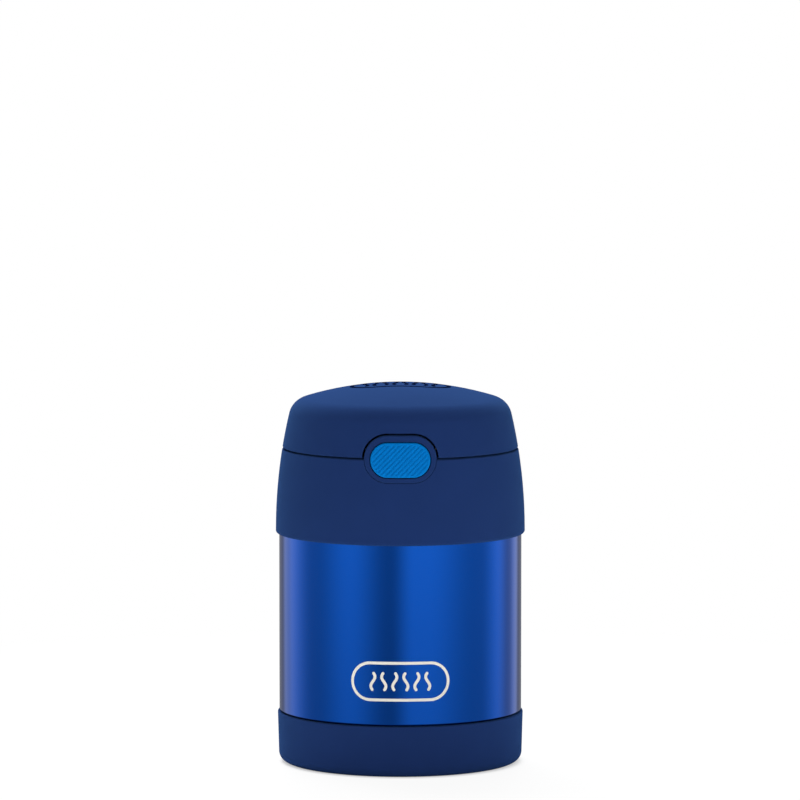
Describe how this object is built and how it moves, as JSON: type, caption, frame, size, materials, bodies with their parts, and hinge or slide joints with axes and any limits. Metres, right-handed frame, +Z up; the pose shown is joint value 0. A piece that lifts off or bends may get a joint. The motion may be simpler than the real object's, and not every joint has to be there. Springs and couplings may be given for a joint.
{
  "type": "insulated food jar",
  "caption": "Vacuum-insulated steel food jar with a screw-on lid, a hinged dome cover opened by a push button, and a folding spoon under the cover.",
  "frame": {"origin": "centre of the base, on the surface the jar stands on", "axes": "+Z up along the jar, -Y towards the button, +Y towards the hinge"},
  "size_m": [0.0892, 0.0892, 0.136],
  "materials": {
    "body_lacquer": "transparent blue lacquer over steel, glossy",
    "bare_steel": "fine turned satin",
    "navy_plastic": "moulded, satin",
    "blue_plastic": "moulded, semi-gloss, ribbed",
    "pale_plastic": "moulded, satin",
    "latch_plastic": "dark, moulded, low friction",
    "silicone": "matt",
    "foam": "fine expanded foam",
    "foil": "bright foil",
    "solder": "dull bead",
    "getter_alloy": "sintered",
    "spring_steel": "drawn wire"
  },
  "bodies": {
    "jar": {"outer_shell": "body_lacquer", "inner_liner": "bare_steel", "shell_bottom": "bare_steel", "vacuum_seal_bead": "solder", "getter": "getter_alloy", "radiation_shield": "foil", "base_boot": "navy_plastic"},
    "gasket": {"lid_gasket": "silicone"},
    "lid": {"inner_lid": "pale_plastic", "lid_insulation": "foam", "lid_collar": "navy_plastic", "spoon_tray": "navy_plastic", "button_bezel": "navy_plastic", "hinge_pin": "spring_steel", "hinge_spring": "spring_steel", "button_spring": "spring_steel", "spoon_bowl": "bare_steel", "spoon_handle": "bare_steel", "spoon_rivet": "bare_steel"},
    "cover": {"cover_shell": "navy_plastic", "cover_liner": "navy_plastic", "cover_catch": "navy_plastic"},
    "button": {"button_cap": "blue_plastic", "latch_slide": "latch_plastic"}
  },
  "joints": [
    {"name": "lid_rise", "type": "slide", "parent": "jar", "child": "gasket", "axis": [0, 0, 1], "range_m": [0, 0.018]},
    {"name": "lid_turn", "type": "hinge", "parent": "gasket", "child": "lid", "pos_m": [0, 0, 0.092], "axis": [0, 0, 1], "range_deg": [0, 720]},
    {"name": "cover_flip", "type": "hinge", "parent": "lid", "child": "cover", "pos_m": [0, 0.04195, 0.1128], "axis": [-1, 0, 0], "range_deg": [0, 105], "deforming": ["hinge_spring"]},
    {"name": "button_press", "type": "slide", "parent": "lid", "child": "button", "axis": [0, 1, 0], "range_m": [0, 0.002], "stiffness_N_per_m": 800, "springref_m": -0.003, "deforming": ["button_spring"]}
  ],
  "couplings": [
    {"joint": "lid_rise", "follows": "lid_turn", "m_per_rad": 0.0014324}
  ]
}
